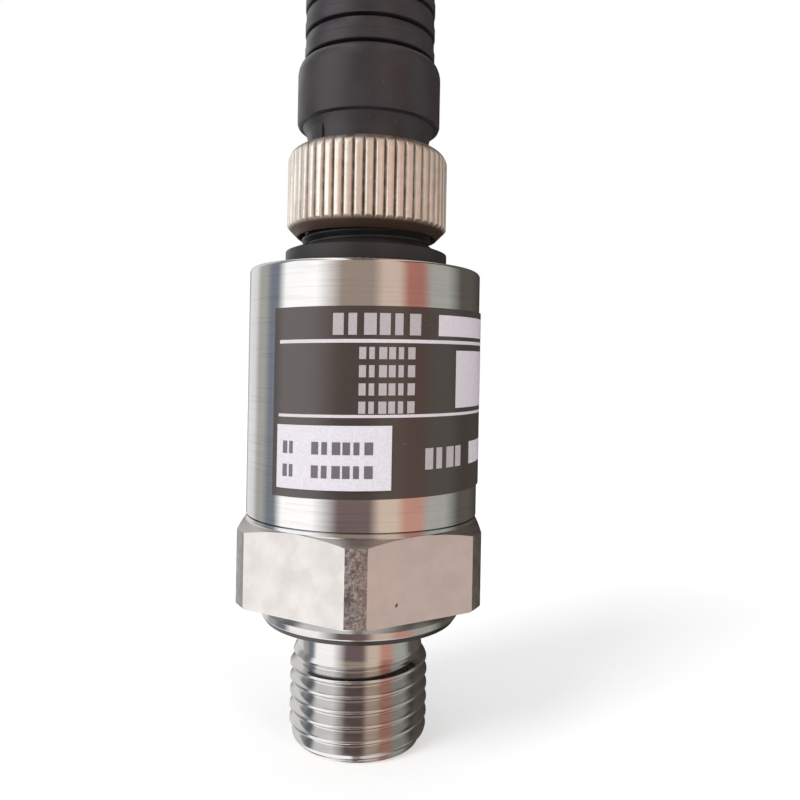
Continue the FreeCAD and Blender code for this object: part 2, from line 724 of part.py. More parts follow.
def add_rings(body, core):
    """Rings of the bend relief, each with a step half way up, over grooves down to the core."""
    foot, top = "ribs_foot + slot_width", "ribs_foot + rib_pitch"
    step = f"({foot} + {top}) / 2"
    ring = revolve(body, "ring", [
        (f"{core} - slip_gap", foot),
        ("rib_radius", foot),
        ("rib_radius", step),
        ("rib_radius - rib_step", step),
        ("rib_radius - rib_step", top),
        (f"{core} - slip_gap", top),
    ])
    stack = body.newObject("PartDesign::LinearPattern", "rings")
    stack.Originals = [ring]
    stack.Direction = (next(f for f in body.Origin.OriginFeatures if f.Role == "Z_Axis"), [""])
    tie(stack, "Length", "rib_pitch * (rib_count - 1)")
    tie(stack, "Occurrences", "rib_count")
    body.Tip = stack
    doc.recompute()


# --- coupling nut ---------------------------------------------------------------------------------


def make_coupling_nut():
    """Brass nut with straight knurls; its lip pulls the insert's flange down on the plug."""
    bore, lip = "plug_thread_radius + running_gap", "neck_radius + running_gap"
    body = turned("coupling_nut", [
        (bore, "nut_foot"),
        ("nut_radius - nut_foot_chamfer", "nut_foot"),
        ("nut_radius", "nut_foot + nut_foot_chamfer"),
        *rounded_shoulder("nut_radius", "nut_top", "nut_shoulder", "nut_shoulder"),
        (lip, "nut_top"),
        (lip, "flange_top"),
        (bore, "flange_top"),
    ])
    tip, out = "nut_radius - knurl_depth", "nut_radius + knurl_depth"
    groove = [(tip, "0"), (out, "0 - knurl_width"), (out, "knurl_width")]
    cut = cut_down(body, "knurl", "nut_top", "nut_top - nut_foot", lambda s: draw_outline(s, groove))
    repeat_round(body, cut, "knurl_count")
    return body


# --- the whole transmitter --------------------------------------------------------------------------


def make_parts():
    """Every piece, from the thread up."""
    seal_centre = "relief_radius + seal_ring_width / 2 + slip_gap / 2"
    return [
        make_process_connection(),
        make_squeezed_ring("process_seal_ring", seal_centre, "seal_ring_width", "relief_top",
                           "seal_ring_height"),
        make_squeezed_ring("cell_o_ring", "o_ring_centre_radius", "o_ring_width",
                           "pocket_floor - o_ring_height", "o_ring_height"),
        *make_sensor(),
        make_board_holder(),
        *make_board(),
        make_lead_wire("supply_wire", 0),
        make_lead_wire("output_wire", 180),
        make_can(),
        make_film("nameplate_label", "label_inside", "label_thickness", "label_foot", "label_height",
                  "label_wrap_angle", "label_start_angle"),
        make_film("wiring_sticker", "sticker_inside", "sticker_thickness",
                  "label_foot + sticker_rise", "sticker_height", "sticker_wrap_angle", "sticker_start_angle"),
        make_plug_base(),
        make_squeezed_ring("plug_seal_ring", "plug_seal_centre_radius", "plug_seal_width", "can_top",
                           "plug_seal_height"),
        make_lock_nut(),
        make_contact_pins(),
        make_connector_insert(),
        make_socket_contacts(),
        make_squeezed_ring("face_seal", "face_seal_centre_radius", "face_seal_width", "plug_top",
                           "face_seal_height"),
        make_boot(),
        make_coupling_nut(),
    ]


def check(parts):
    doc.recompute()
    for thing in doc.Objects:
        if "Invalid" in thing.State or "Error" in thing.State:
            raise ValueError(f"{thing.Name} failed: {thing.State}")
    for part in parts:
        if part.Shape.isNull() or not part.Shape.isValid():
            raise ValueError(f"{part.Label} has no valid shape")


parts = make_parts()
check(parts)
os.makedirs("parts", exist_ok=True)
for part in parts:
    part.Shape.exportStep(f"parts/{part.Label}.step")
    box = part.Shape.BoundBox
    print(f"{part.Label}: {len(part.Shape.Solids)} solid(s), {part.Shape.Volume:.1f} mm3,"
          f" z {box.ZMin:.2f} to {box.ZMax:.2f}")
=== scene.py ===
import math

import bmesh
import bpy
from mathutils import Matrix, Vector


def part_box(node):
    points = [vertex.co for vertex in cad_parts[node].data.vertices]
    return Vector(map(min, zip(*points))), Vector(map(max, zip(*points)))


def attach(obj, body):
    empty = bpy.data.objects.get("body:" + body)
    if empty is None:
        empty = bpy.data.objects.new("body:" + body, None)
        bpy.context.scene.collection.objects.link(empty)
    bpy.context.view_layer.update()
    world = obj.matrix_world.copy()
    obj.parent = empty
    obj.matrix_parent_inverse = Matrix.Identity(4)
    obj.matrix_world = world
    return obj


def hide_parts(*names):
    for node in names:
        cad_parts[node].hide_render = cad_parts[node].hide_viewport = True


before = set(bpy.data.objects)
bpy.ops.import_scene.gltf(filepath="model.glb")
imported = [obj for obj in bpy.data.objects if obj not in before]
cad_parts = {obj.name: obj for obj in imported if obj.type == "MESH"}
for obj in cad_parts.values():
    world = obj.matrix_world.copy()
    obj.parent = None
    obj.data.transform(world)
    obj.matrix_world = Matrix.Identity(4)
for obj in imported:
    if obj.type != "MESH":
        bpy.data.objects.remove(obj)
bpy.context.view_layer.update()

# --- studio -----------------------------------------------------------------------------------
# A white table and a white room. A dome of coloured cards stands round the transmitter for the
# metal to mirror: a wide white window on the left, a dark gap behind the camera and warm and
# grey cards on the right. Lengths of pieces are millimetres until MM makes them metres.
MM = 0.001


def tone(red, green, blue, level=1.0):
    """A colour given as 0 to 255 on a screen, as the linear colour that a shader wants."""
    linear = [((c / 255 + 0.055) / 1.055) ** 2.4 if c > 10 else c / 255 / 12.92 for c in (red, green, blue)]
    return (*[c * level for c in linear], 1.0)


class Socket:
    """A socket of a shader: sums on it add Math nodes, and node() adds any other node."""

    def __init__(self, tree, socket=None):
        self.tree = tree
        self.socket = socket

    def node(self, kind, settings=None, values=None, out=0):
        node = self.tree.nodes.new(kind)
        for name, value in (settings or {}).items():
            if name == "stops":
                self.set_stops(node.color_ramp, value)
            else:
                setattr(node, name, value)
        for name, value in (values or {}).items():
            if isinstance(value, Socket):
                self.tree.links.new(value.socket, node.inputs[name])
            else:
                node.inputs[name].default_value = value
        return Socket(self.tree, node.outputs[out])

    def set_stops(self, ramp, stops):
        while len(ramp.elements) < len(stops):
            ramp.elements.new(1.0)
        for element, (position, colour) in zip(ramp.elements, stops):
            element.position = position
            element.color = colour

    def math(self, operation, *values):
        return self.node("ShaderNodeMath", {"operation": operation}, dict(enumerate((self, *values))))

    def __add__(self, other):
        return self.math("ADD", other)

    __radd__ = __add__

    def __mul__(self, other):
        return self.math("MULTIPLY", other)

    __rmul__ = __mul__

    def __sub__(self, other):
        return self.math("SUBTRACT", other)

    def __rsub__(self, other):
        return self.node("ShaderNodeMath", {"operation": "SUBTRACT"}, {0: other, 1: self})

    def __truediv__(self, other):
        return self.math("DIVIDE", other)

    def step(self, low, high, start=0.0, end=1.0):
        """A smooth step from start to end as this value goes from low to high."""
        values = {"Value": self, "From Min": low, "From Max": high, "To Min": start, "To Max": end}
        return self.node("ShaderNodeMapRange", {"interpolation_type": "SMOOTHSTEP"}, values)

    def blend(self, low, high):
        """The low colour where this value is 0 and the high colour where it is 1."""
        return self.node("ShaderNodeMix", {"data_type": "RGBA"}, {0: self, 6: low, 7: high}, out=2)

    def split(self):
        parts = self.node("ShaderNodeSeparateXYZ", values={0: self}).socket.node
        return [Socket(self.tree, parts.outputs[axis]) for axis in "XYZ"]

    def stretched(self, across, along):
        """These coordinates scaled: across the axis in x and y, along it in z."""
        return self.node("ShaderNodeMapping", values={"Vector": self, "Scale": (across, across, along)})

    def noise(self, scale, detail=3.0, roughness=0.5):
        values = {"Vector": self, "Scale": scale, "Detail": detail, "Roughness": roughness}
        return self.node("ShaderNodeTexNoise", values=values, out="Fac")

    def bump(self, strength, depth):
        """The normals of a surface that rises with this value, by a depth in millimetres."""
        values = {"Height": self, "Strength": strength, "Distance": depth * MM}
        return self.node("ShaderNodeBump", values=values)


def feed(tree, node, values):
    """Set or link the named inputs of a node."""
    for name, value in values.items():
        if isinstance(value, Socket):
            tree.links.new(value.socket, node.inputs[name])
        else:
            node.inputs[name].default_value = value


world = bpy.data.worlds.new("room")
bpy.context.scene.world = world
world.use_nodes = True
air = Socket(world.node_tree)
seen = air.node("ShaderNodeLightPath", out="Is Camera Ray")
path = seen.socket.node
mirrored = Socket(world.node_tree, path.outputs["Is Glossy Ray"])
through = Socket(world.node_tree, path.outputs["Is Transmission Ray"])
bright = (seen + mirrored + through).math("MINIMUM", 1.0)
feed(world.node_tree, world.node_tree.nodes["Background"],
     {"Color": (1, 1, 1, 1), "Strength": 0.55 + 0.45 * bright})

for name, strength, turn, tilt in (("window", 1.25, -48, 50), ("fill", 0.45, 40, 65)):
    bpy.ops.object.light_add(type="SUN", rotation=(math.radians(tilt), 0, math.radians(turn)))
    lamp = bpy.context.object
    lamp.name = name
    lamp.data.energy = strength
    lamp.data.angle = math.radians(25)
    lamp.visible_glossy = False

bpy.ops.mesh.primitive_plane_add(size=6)
floor = bpy.context.object
floor.name = "table"
floor.visible_glossy = False
paint = bpy.data.materials.new("white_table")
paint.use_nodes = True
table_light = Socket(paint.node_tree).node("ShaderNodeLightPath", out="Is Camera Ray")
feed(paint.node_tree, paint.node_tree.nodes["Principled BSDF"], {
    "Base Color": (0.86, 0.86, 0.86, 1),
    "Roughness": 0.8,
    "Specular IOR Level": 0.0,
    "Emission Color": (1, 1, 1, 1),
    "Emission Strength": 0.34 * table_light,
})
floor.data.materials.append(paint)

WINDOW = (255, 255, 255)
PALE = (210, 210, 210)
SLATE = (115, 120, 130)
UMBER = (105, 90, 90)
TAUPE = (150, 135, 125)
SAND = (200, 180, 165)
ROSE = (185, 140, 125)
BRICK = (165, 110, 100)
STONE = (160, 160, 155)
CHARCOAL = (85, 80, 75)
DUSK = (55, 50, 50)
# Each card: the degrees it spans round from the camera, and its colour below and above eye level.
CARDS = (
    (-180, -165, DUSK, DUSK),
    (-150, -130, PALE, PALE),
    (-120, -110, STONE, STONE),
    (-100, -90, SLATE, SLATE),
    (-80, -45, WINDOW, WINDOW),
    (-20, 10, UMBER, TAUPE),
    (20, 35, SAND, SAND),
    (45, 60, ROSE, BRICK),
    (70, 90, STONE, STONE),
    (110, 130, CHARCOAL, CHARCOAL),
    (165, 180, DUSK, DUSK),
)
# The ceiling and the table, as strips from the left, -1, to the right, 1.
CEILING = ((-1, -0.5, SLATE), (-0.4, -0.25, WINDOW), (-0.15, 0.1, UMBER), (0.2, 0.35, SAND), (0.5, 1, DUSK))
TABLE = ((-1, -0.1, WINDOW), (-0.05, 0.05, TAUPE), (0.1, 0.3, PALE), (0.6, 1, CHARCOAL))
GLOW = 1.4
ROOM = 0.9
bpy.ops.mesh.primitive_uv_sphere_add(segments=64, ring_count=32, radius=ROOM)
dome = bpy.context.object
dome.name = "card_dome"
dome.visible_camera = False
dome.visible_diffuse = False
dome.visible_shadow = False
dome.visible_transmission = False
cards = bpy.data.materials.new("card_dome")
cards.use_nodes = True
cards.node_tree.nodes.remove(cards.node_tree.nodes["Principled BSDF"])
spot = Socket(cards.node_tree).node("ShaderNodeTexCoord", out="Object")
x, y, z = spot.split()
turn = x.math("ARCTAN2", 0.0 - y) / (2 * math.pi) + 0.5
side = x / (2 * ROOM) + 0.5
height = z / ROOM


def card_row(place, cards, full):
    """The colours of a row of cards, each given as its start, its end and its colour."""
    stops = [(edge / (2 * full) + 0.5, tone(*card[-1], level=GLOW)) for card in cards for edge in card[:2]]
    return place.node("ShaderNodeValToRGB", {"stops": stops}, {0: place})


below = card_row(turn, [card[:3] for card in CARDS], 180)
above = card_row(turn, [(card[0], card[1], card[3]) for card in CARDS], 180)
walls = height.step(-0.2, 0.15).blend(below, above)
walls = height.step(0.6, 0.8).blend(walls, card_row(side, CEILING, 1))
whole = height.step(-0.8, -0.65).blend(card_row(side, TABLE, 1), walls)
glow = whole.node("ShaderNodeEmission", values={"Color": whole, "Strength": 1.0})
cards.node_tree.links.new(glow.socket, cards.node_tree.nodes["Material Output"].inputs["Surface"])
dome.data.materials.append(cards)

roll = math.radians(-1.07)
bpy.ops.object.camera_add(location=(3.475 * MM, -72.8 * MM, 35 * MM), rotation=(math.radians(90), roll, 0))
camera = bpy.context.object
camera.name = "camera"
camera.data.lens = 33.75
camera.data.sensor_width = 36
camera.data.shift_y = -0.035
camera.data.clip_start = 0.004
bpy.context.scene.camera = camera
bpy.context.scene.view_settings.view_transform = "Standard"

# --- process connection -------------------------------------------------------------------------
# One bar of stainless steel: G1/4 thread, undercut, sealing flange, hexagon and the spigot for the
# can. The round parts are turned, the flats are cold-drawn, and the turned corners of the hexagon
# keep a coarse skin.
THREAD_PITCH = 1.337
THREAD_CREST = 6.5785
THREAD_DEPTH = 0.856
THREAD_TOP = 9.0
LEAD_WIDTH = 0.73
LEAD_LENGTH = 1.7
RUN_OUT_WIDTH = 0.58
RUN_OUT_LENGTH = 1.4
# One turn of the thread, as shares of its pitch and of its depth: a round root, flanks, a round crest.
THREAD_SHAPE = (
    (0.0, 0.0), (0.05, 0.02), (0.1, 0.1), (0.16, 0.22), (0.36, 0.84), (0.41, 0.95), (0.46, 1.0),
    (0.54, 1.0), (0.59, 0.95), (0.64, 0.84), (0.84, 0.22), (0.9, 0.1), (0.95, 0.02),
)
PORT = 2.0
UNDERCUT = 6.0
SEAL_GROOVE = 8.1
FLANGE = 9.5
CELL_BORE = 9.1
SPIGOT = 10.17
HEX_FLAT = 11.0
HEX_CORNER = 12.2
HEX_FOOT = 13.95
HEX_TURN = 1
INNER_END = HEX_FOOT + 0.15
RING_OUTSIDE = 7.2
RING_INSIDE = 5.2
TURN_STEPS = 144


def foot_and_top(node):
    """The lowest and the highest level of a solid of the frame, in millimetres."""
    low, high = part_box(node)
    return round(low.z / MM, 2), round(high.z / MM, 2)


SEAL_FOOT, SEAL_TOP = foot_and_top("process_seal_ring")
RING_FOOT, CELL_FOOT = foot_and_top("cell_o_ring")
SPIGOT_TOP = foot_and_top("process_connection")[1]
CAN_FOOT, CAN_TOP = foot_and_top("housing_can")


def take_up(*pieces):
    """Select these pieces only, the first one active."""
    bpy.ops.object.select_all(action="DESELECT")
    for piece in pieces:
        piece.select_set(True)
    bpy.context.view_layer.objects.active = pieces[0]


def start_outline(name, radius, level):
    """A new mesh in edit mode with one vertex, at a radius and level, ready to be extruded."""
    bpy.ops.object.select_all(action="DESELECT")
    bpy.ops.mesh.primitive_plane_add(size=MM)
    piece = bpy.context.object
    piece.name = name
    bpy.ops.object.mode_set(mode="EDIT")
    bpy.ops.mesh.select_mode(type="VERT")
    bpy.ops.mesh.merge(type="CENTER")
    bpy.ops.transform.translate(value=(radius * MM, 0, level * MM))
    return piece


def draw_on(points, radius, level):
    """Extrude the chain from where it is, a radius and level, through the points."""
    for next_radius, next_level in points:
        shift = ((next_radius - radius) * MM, 0, (next_level - level) * MM)
        bpy.ops.mesh.extrude_region_move(TRANSFORM_OT_translate={"value": shift})
        radius, level = next_radius, next_level


def close_shell(weld=1e-6):
    """Weld the open seams of the piece in edit mode, face it outwards and leave edit mode."""
    bpy.ops.mesh.select_all(action="SELECT")
    bpy.ops.mesh.remove_doubles(threshold=weld)
    bpy.ops.mesh.normals_make_consistent(inside=False)
    bpy.ops.object.mode_set(mode="OBJECT")


def turn_on_lathe(name, outline, steps=TURN_STEPS):
    """Spin a closed outline of (radius, level) points about the axis and weld its seam."""
    piece = start_outline(name, *outline[0])
    draw_on(outline[1:] + outline[:1], *outline[0])
    bpy.ops.mesh.select_all(action="SELECT")
    bpy.ops.mesh.remove_doubles(threshold=1e-7)
    bpy.ops.mesh.spin(steps=steps, angle=2 * math.pi, center=(0, 0, 0), axis=(0, 0, 1))
    close_shell(weld=1e-7)
    return piece


def keep_inside(piece, blank):
    """Cut a piece down to what lies inside a blank, which is used up."""
    take_up(piece)
    cut = piece.modifiers.new("cut", "BOOLEAN")
    cut.operation = "INTERSECT"
    cut.object = blank
    cut.solver = "EXACT"
    bpy.ops.object.modifier_apply(modifier=cut.name)
    bpy.data.objects.remove(blank)


def round_edges(piece, size, rings):
    """Bevel the circular edges at the given (radius, level) places."""
    bpy.context.view_layer.objects.active = piece
    bpy.ops.object.mode_set(mode="EDIT")
    bpy.ops.mesh.select_mode(type="EDGE")
    bpy.ops.mesh.select_all(action="DESELECT")
    mesh = bmesh.from_edit_mesh(piece.data)
    for edge in mesh.edges:
        spots = [(math.hypot(v.co.x, v.co.y) / MM, v.co.z / MM) for v in edge.verts]
        edge.select = any(all(math.dist(spot, ring) < 0.004 for spot in spots) for ring in rings)
    bmesh.update_edit_mesh(piece.data)
    bpy.ops.mesh.bevel(offset=size * MM, segments=4, profile=0.5, affect="EDGES")
    bpy.ops.object.mode_set(mode="OBJECT")


def smooth(piece, angle):
    take_up(piece)
    bpy.ops.object.shade_smooth_by_angle(angle=math.radians(angle))


def cut_thread(name, shape, crest, depth, pitch, foot, top, blank, lag=0.0):
    """A screw thread from its foot to its top, turned down to the radius that blank(level) gives."""
    points = [(crest - depth * (1 - rise), foot + pitch * (along - 1.5 - lag)) for along, rise in shape]
    points.append((points[0][0], points[0][1] + pitch))
    piece = start_outline(name, *points[0])
    draw_on(points[1:], *points[0])
    bpy.ops.object.mode_set(mode="OBJECT")
    screw = piece.modifiers.new("thread", "SCREW")
    screw.axis = "Z"
    screw.screw_offset = pitch * MM
    screw.iterations = math.ceil((top - foot) / pitch) + 3
    screw.steps = TURN_STEPS
    screw.render_steps = TURN_STEPS
    bpy.ops.object.modifier_apply(modifier=screw.name)
    bpy.ops.object.mode_set(mode="EDIT")
    bpy.ops.mesh.select_all(action="SELECT")
    bpy.ops.mesh.remove_doubles(threshold=1e-6)
    mesh = bmesh.from_edit_mesh(piece.data)
    for vertex in mesh.verts:
        radius = math.hypot(vertex.co.x, vertex.co.y)
        limit = blank(vertex.co.z / MM) * MM
        if radius > limit:
            vertex.co.x *= limit / radius
            vertex.co.y *= limit / radius
    bmesh.update_edit_mesh(piece.data)
    for level, clear in ((foot, {"clear_inner": True}), (top, {"clear_outer": True})):
        bpy.ops.mesh.select_all(action="SELECT")
        bpy.ops.mesh.bisect(plane_co=(0, 0, level * MM), plane_no=(0, 0, 1), threshold=1e-7, **clear)
    bpy.ops.mesh.select_all(action="SELECT")
    bpy.ops.mesh.remove_doubles(threshold=2e-6)
    return piece


def pick_open_rim(piece, level):
    """Select the open edges of the mesh at a level."""
    bpy.ops.mesh.select_mode(type="EDGE")
    bpy.ops.mesh.select_all(action="DESELECT")
    mesh = bmesh.from_edit_mesh(piece.data)
    for edge in mesh.edges:
        edge.select = edge.is_boundary and all(abs(v.co.z - level * MM) < 5e-6 for v in edge.verts)
    bmesh.update_edit_mesh(piece.data)


def carry_rim(piece, points):
    """Extrude the selected rim through rings of the given (radius, level)."""
    for radius, level in points:
        bpy.ops.mesh.extrude_region_move()
        mesh = bmesh.from_edit_mesh(piece.data)
        for vertex in mesh.verts:
            if vertex.select:
                out = Vector((vertex.co.x, vertex.co.y)).normalized() * radius * MM
                vertex.co = (out.x, out.y, level * MM)
        bmesh.update_edit_mesh(piece.data)


def thread_blank(level):
    """Radius of the bar under the thread, with its rounded lead and its tapered run-out."""
    if level > THREAD_TOP / 2:
        run_out = UNDERCUT + RUN_OUT_WIDTH * (THREAD_TOP - level) / RUN_OUT_LENGTH
        return max(UNDERCUT, min(THREAD_CREST, run_out))
    share = min(max(level, 0.0), LEAD_LENGTH) / LEAD_LENGTH
    return THREAD_CREST - LEAD_WIDTH * (1 - share) ** 2.2


connection = cut_thread("process_connection_steel", THREAD_SHAPE, THREAD_CREST, THREAD_DEPTH,
                        THREAD_PITCH, 0.0, THREAD_TOP, thread_blank, lag=0.17)
pick_open_rim(connection, 0.0)
carry_rim(connection, [(PORT + 0.3, 0.0), (PORT, 0.3), (PORT, 8.0), (PORT, INNER_END)])
pick_open_rim(connection, THREAD_TOP)
carry_rim(connection, [
    (UNDERCUT - 0.03, THREAD_TOP + 0.15), (UNDERCUT - 0.03, SEAL_FOOT - 0.35), (UNDERCUT, SEAL_FOOT - 0.15),
    (UNDERCUT, SEAL_TOP), (SEAL_GROOVE, SEAL_TOP), (SEAL_GROOVE, SEAL_FOOT),
    (FLANGE - 0.45, SEAL_FOOT), (FLANGE - 0.38, SEAL_FOOT + 0.03), (FLANGE - 0.06, SEAL_FOOT + 0.51),
    (FLANGE, SEAL_FOOT + 0.61), (FLANGE, HEX_FOOT - 1.17), (FLANGE - 0.06, HEX_FOOT - 1.09),
    (FLANGE - 0.4, HEX_FOOT - 0.75), (FLANGE - 0.4, INNER_END), (PORT, INNER_END),
])
close_shell()

hexagon = turn_on_lathe("hexagon", [
    (PORT, HEX_FOOT), (HEX_CORNER - 0.12, HEX_FOOT), (HEX_CORNER, HEX_FOOT + 0.12),
    (HEX_CORNER, CAN_FOOT - 0.8), (HEX_FLAT + 0.08, CAN_FOOT - 0.31), (HEX_FLAT - 0.02, CAN_FOOT - 0.22),
    (HEX_FLAT - 0.06, CAN_FOOT + 0.06), (SPIGOT, CAN_FOOT + 0.02), (SPIGOT, SPIGOT_TOP),
    (CELL_BORE, SPIGOT_TOP), (CELL_BORE, CELL_FOOT), (RING_OUTSIDE, CELL_FOOT),
    (RING_OUTSIDE, RING_FOOT), (RING_INSIDE, RING_FOOT), (RING_INSIDE, CELL_FOOT), (PORT, CELL_FOOT),
], steps=180)
bpy.ops.mesh.primitive_cylinder_add(
    vertices=6, radius=HEX_FLAT / math.cos(math.radians(30)) * MM, depth=40 * MM,
    location=(0, 0, 20 * MM), rotation=(0, 0, math.radians(HEX_TURN)))
keep_inside(hexagon, bpy.context.object)

STEEL = (0.66, 0.65, 0.64, 1)
PIT = (3.53, -10.67, 15.66)


def new_finish(name):
    """A material with a plain Principled shader: gives it, its shader and its Object coordinates."""
    material = bpy.data.materials.new(name)
    material.use_nodes = True
    shader = material.node_tree.nodes["Principled BSDF"]
    return material, shader, Socket(material.node_tree).node("ShaderNodeTexCoord", out="Object")


def turned_steel(name, colour, roughness, lines, line_depth, spread=0.06):
    """Turned metal: fine rings of the tool round the axis, and slight stains."""
    material, shader, place = new_finish(name)
    marks = place.stretched(0.02, 1.0).noise(lines, 4.0, 0.7)
    coarse = place.stretched(0.05, 1.0).noise(lines * 0.22, 2.0, 0.5)
    stain = place.noise(160.0, 3.0, 0.6)
    height = marks * 0.7 + coarse * 0.5
    stained = stain.step(0.3, 0.75).blend(colour, [c * 0.92 for c in colour[:3]] + [1])
    feed(material.node_tree, shader, {
        "Base Color": marks.step(0.36, 0.5).blend([c * 0.88 for c in colour[:3]] + [1], stained),
        "Metallic": 1.0,
        "Roughness": marks.step(0.25, 0.75, roughness - spread, roughness + spread),
        "Anisotropic": 0.6,
        "Anisotropic Rotation": 0.25,
        "Normal": height.bump(1.0, line_depth),
    })
    return material


def drawn_steel(name):
    """Cold-drawn flats: satin, mottled, with fine scratches and a small pit near the front corner."""
    material, shader, place = new_finish(name)
    mottle = place.noise(420.0, 4.0, 0.65)
    grain = place.noise(3800.0, 2.0, 0.6)
    scratch = place.stretched(1.0, 0.06).noise(9000.0, 2.0, 0.5)
    nick = place.node("ShaderNodeMapping", {"vector_type": "TEXTURE"}, {
        "Vector": place, "Location": [along * MM for along in PIT],
        "Rotation": (0, math.radians(24), math.radians(30)), "Scale": (0.7, 1.0, 1.3)})
    gap = nick.node("ShaderNodeVectorMath", {"operation": "LENGTH"}, {0: nick}, out="Value")
    pit = gap.step(0.09 * MM, 0.2 * MM, 1.0, 0.0)
    clean = mottle.step(0.3, 0.7).blend((0.80, 0.765, 0.74, 1), (0.75, 0.71, 0.68, 1))
    height = mottle * 0.5 + grain * 0.25 + scratch * 0.12 - pit * 1.5
    feed(material.node_tree, shader, {
        "Base Color": pit.blend(clean, (0.17, 0.06, 0.04, 1)),
        "Metallic": 0.8,
        "Roughness": mottle.step(0.3, 0.7, 0.42, 0.54) + pit * 0.3,
        "Normal": height.bump(0.6, 0.012),
    })
    return material


def rolled_skin(name):
    """Coarse skin left on the turned corners: small bright and dark grains."""
    material, shader, place = new_finish(name)
    grains = place.noise(5200.0, 3.0, 0.75)
    patches = place.noise(1300.0, 2.0, 0.6)
    depth = place.split()[1]
    rough = patches.step(0.3, 0.6, 0.3, 1.0) * depth.step(-11.0 * MM, -8.0 * MM, 1.0, 0.15)
    height = (grains * 0.9 + patches * 0.4) * rough
    plain = (0.46, 0.44, 0.43, 1)
    speckle = grains.step(0.36, 0.66).blend((0.34, 0.31, 0.30, 1), (0.72, 0.69, 0.68, 1))
    feed(material.node_tree, shader, {
        "Base Color": rough.blend(plain, speckle),
        "Metallic": 1.0,
        "Roughness": patches.step(0.3, 0.7, 0.28, 0.5),
        "Normal": height.bump(1.0, 0.04),
    })
    return material


LINES = 5200.0
LINE_DEPTH = 0.003
thread_steel = turned_steel("thread_steel", STEEL, 0.14, LINES, LINE_DEPTH, 0.04)
# The flange's lower chamfer is steel painted near black: painted shade under the flange.
chamfer_painted_shade = turned_steel("chamfer_painted_shade", (0.08, 0.07, 0.065, 1), 0.36, LINES, LINE_DEPTH)
dull_cone = turned_steel("dull_cone", (0.60, 0.575, 0.56, 1), 0.38, LINES, LINE_DEPTH)
for finish in (thread_steel, chamfer_painted_shade):
    connection.data.materials.append(finish)
for finish in (thread_steel, drawn_steel("drawn_flats"), rolled_skin("rolled_corners"), dull_cone):
    hexagon.data.materials.append(finish)
# Faces of the flange's lower chamfer take the near-black steel, which is painted shade.
for face in connection.data.polygons:
    reach = math.hypot(face.center.x, face.center.y) / MM
    if reach > FLANGE - 0.5 and SEAL_FOOT - 0.01 < face.center.z / MM < SEAL_FOOT + 0.55:
        face.material_index = 1
for face in hexagon.data.polygons:
    reach = math.hypot(face.center.x, face.center.y) / MM
    if abs(face.normal.z) < 0.01 and reach > HEX_FLAT - 0.04:
        face.material_index = 2 if reach > HEX_CORNER - 0.1 else 1
    elif face.center.z / MM > CAN_FOOT - 1.04 and face.normal.z > 0.8 and reach > HEX_FLAT - 0.01:
        face.material_index = 3
take_up(connection, hexagon)
bpy.ops.object.join()
smooth(connection, 15)
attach(connection, "transmitter")
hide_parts("process_connection")

# --- can ------------------------------------------------------------------------------------------
# Thin stainless can, deep-drawn and skimmed on the lathe, with a small round on its upper rim. It
# is pressed over the spigot and laser-welded to the hexagon.
CAN = 11.0
CAN_BORE = 10.2
PLUG_HOLE = 5.53
WELD_TOP = CAN_FOOT + 0.14
LID_FOOT = foot_and_top("plug_lock_nut")[1]
can = turn_on_lathe("can_steel", [
    (CAN_BORE, WELD_TOP), (CAN - 0.1, WELD_TOP), (CAN, WELD_TOP + 0.08), (CAN, 33.0), (CAN, CAN_TOP),
    (CAN_BORE, CAN_TOP), (PLUG_HOLE, CAN_TOP), (PLUG_HOLE, LID_FOOT), (CAN_BORE, LID_FOOT),
], steps=192)
round_edges(can, 0.35, [(CAN, CAN_TOP)])
can.data.materials.append(turned_steel("can_steel", (0.73, 0.72, 0.71, 1), 0.12, 4200.0, 0.006, 0.03))
smooth(can, 30)
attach(can, "transmitter")
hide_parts("housing_can")

# --- nameplate ------------------------------------------------------------------------------------
# Glossy charcoal film bonded round the can by hand, so that it climbs a little to the right,
# printed with white rules, pale fields and rows of small bars where a plate would carry its words.
FILM_INSIDE = CAN + 0.03
FILM_OUTSIDE = CAN + 0.15
FILM_CLIMB = 0.0165
FILM_FOOT, FILM_TOP = foot_and_top("nameplate_label")
INK = 0.012


def bent_patch(name, inside, outside, start, wrap, foot, top, steps, climb=FILM_CLIMB):
    """A patch bent round the can from a start angle, right of the front, climbing to the right."""
    piece = start_outline(name, inside, foot)
    draw_on([(outside, foot), (outside, top), (inside, top), (inside, foot)], inside, foot)
    bpy.ops.mesh.select_all(action="SELECT")
    bpy.ops.mesh.remove_doubles(threshold=1e-8)
    bpy.ops.mesh.select_all(action="SELECT")
    bpy.ops.mesh.edge_face_add()
    bpy.ops.mesh.spin(steps=steps, angle=math.radians(wrap), center=(0, 0, 0), axis=(0, 0, 1))
    bpy.ops.object.mode_set(mode="OBJECT")
    for vertex in piece.data.vertices:
        reach = math.hypot(vertex.co.x, vertex.co.y)
        swept = -math.degrees(math.atan2(vertex.co.y, vertex.co.x)) % 360
        swept = 0.0 if swept > 359.5 else swept
        angle = math.radians(start + swept - 90)
        vertex.co.x = reach * math.cos(angle)
        vertex.co.y = reach * math.sin(angle)
        vertex.co.z += climb * math.radians(start + swept) * reach
    bpy.ops.object.mode_set(mode="EDIT")
    bpy.ops.mesh.select_all(action="SELECT")
    bpy.ops.mesh.normals_make_consistent(inside=False)
    bpy.ops.object.mode_set(mode="OBJECT")
    return piece


def printed(name, patches, outside, material):
    """Join flat printed patches, given as start, wrap, foot and top, into one piece."""
    made = []
    for index, (start, wrap, foot, top) in enumerate(patches):
        steps = max(2, round(wrap / 2))
        made.append(bent_patch(f"{name}_{index}", outside - 0.02, outside + INK, start, wrap, foot,
                               top, steps))
    take_up(*made)
    bpy.ops.object.join()
    piece = bpy.context.object
    piece.name = name
    piece.data.materials.append(material)
    smooth(piece, 30)
    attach(piece, "transmitter")
    return piece


